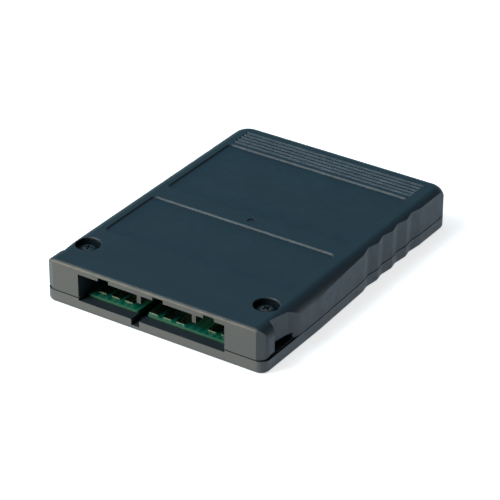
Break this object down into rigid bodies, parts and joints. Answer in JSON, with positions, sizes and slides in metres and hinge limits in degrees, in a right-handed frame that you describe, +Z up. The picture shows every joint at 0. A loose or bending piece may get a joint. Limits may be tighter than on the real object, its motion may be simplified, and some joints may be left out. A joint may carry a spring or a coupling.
{
  "type": "console memory card",
  "caption": "Flat moulded memory card with label recesses, fluted finger grips, latch notches and a keyed connector window over plated contacts.",
  "frame": {"origin": "centre of the underside of the bounding box", "axes": "+X to the right when the connector faces the viewer, +Y from the connector end to the rear, +Z up through the label face"},
  "size_m": [0.042, 0.0574, 0.008],
  "materials": {
    "housing": "semi-matt moulded",
    "board": "solder mask",
    "contacts": "plated",
    "screws": "dark plated",
    "chips": "moulded epoxy",
    "can": "drawn can",
    "tank": "moulded",
    "ceramic": "ceramic",
    "resistors": "glazed"
  },
  "bodies": {
    "root": {"top_shell": "housing", "bottom_shell": "housing", "circuit_board": "board", "case_screws": "screws", "flash_memory": "chips", "controller": "chips", "crystal": "can", "voltage_regulator": "chips", "tank_capacitor": "tank", "contact_1": "contacts", "contact_2": "contacts", "contact_3": "contacts", "contact_4": "contacts", "contact_5": "contacts", "contact_6": "contacts", "contact_7": "contacts", "contact_8": "contacts", "capacitor_1": "ceramic", "resistor_1": "resistors", "capacitor_2": "ceramic", "resistor_2": "resistors", "capacitor_3": "ceramic", "resistor_3": "resistors", "capacitor_4": "ceramic", "resistor_4": "resistors"}
  },
  "joints": []
}
